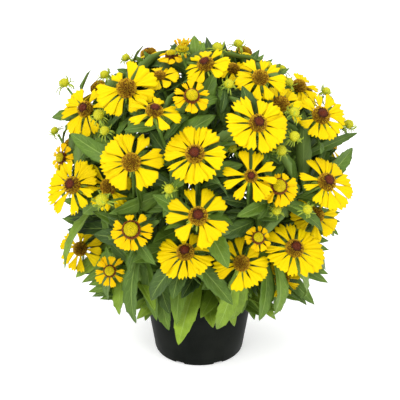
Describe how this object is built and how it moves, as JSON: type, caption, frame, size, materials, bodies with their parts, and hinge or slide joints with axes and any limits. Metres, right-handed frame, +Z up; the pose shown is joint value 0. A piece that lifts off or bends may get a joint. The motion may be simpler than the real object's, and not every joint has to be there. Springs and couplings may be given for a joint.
{
  "type": "potted sneezeweed plant",
  "caption": "Bushy sneezeweed in a round tapered nursery pot, with toothed green leaves and yellow daisy blooms round domed brown discs.",
  "frame": {"origin": "middle of the pot's underside, on the flat pad it stands on", "axes": "+Z up; the side seen in the picture faces -Y, so a viewer in front looks along +Y; +X to that viewer's right"},
  "size_m": [0.3216, 0.2759, 0.3621],
  "materials": {
    "black_plastic": "matte",
    "potting_soil": "matte",
    "yellow_petals": "matte",
    "green_leaves": "matte"
  },
  "bodies": {
    "root": {"pot": "black_plastic", "potting_soil": "potting_soil", "leafy_stem_01": "green_leaves", "leafy_stem_02": "green_leaves", "leafy_stem_03": "green_leaves", "leafy_stem_04": "green_leaves", "leafy_stem_05": "green_leaves", "leafy_stem_06": "green_leaves", "leafy_stem_07": "green_leaves", "leafy_stem_08": "green_leaves", "leafy_stem_09": "green_leaves", "leafy_stem_10": "green_leaves", "leafy_stem_11": "green_leaves", "leafy_stem_12": "green_leaves", "bloom_01": "yellow_petals", "bloom_02": "yellow_petals", "bloom_03": "yellow_petals", "bloom_04": "yellow_petals", "bloom_05": "yellow_petals", "bloom_06": "yellow_petals", "bloom_07": "yellow_petals", "bloom_08": "yellow_petals", "bloom_09": "yellow_petals", "bloom_10": "yellow_petals", "bloom_11": "yellow_petals", "bloom_12": "yellow_petals", "bloom_13": "yellow_petals", "bloom_14": "yellow_petals", "bloom_15": "yellow_petals", "bloom_16": "yellow_petals", "bloom_17": "yellow_petals", "bloom_18": "yellow_petals", "bloom_19": "yellow_petals", "bloom_20": "yellow_petals", "bloom_21": "yellow_petals", "bloom_22": "yellow_petals", "bloom_23": "yellow_petals", "bloom_24": "yellow_petals", "bloom_25": "yellow_petals", "bloom_26": "yellow_petals", "bloom_27": "yellow_petals", "bloom_28": "yellow_petals", "bloom_29": "yellow_petals", "bloom_30": "yellow_petals", "bloom_31": "yellow_petals", "bloom_32": "yellow_petals", "bloom_33": "yellow_petals", "bloom_34": "yellow_petals", "bloom_35": "yellow_petals", "bloom_36": "yellow_petals", "bloom_37": "yellow_petals", "bloom_38": "yellow_petals", "bloom_39": "yellow_petals", "bloom_40": "yellow_petals", "bloom_41": "yellow_petals", "bloom_42": "yellow_petals", "bloom_43": "yellow_petals", "bloom_44": "yellow_petals", "bloom_45": "yellow_petals"}
  },
  "joints": []
}
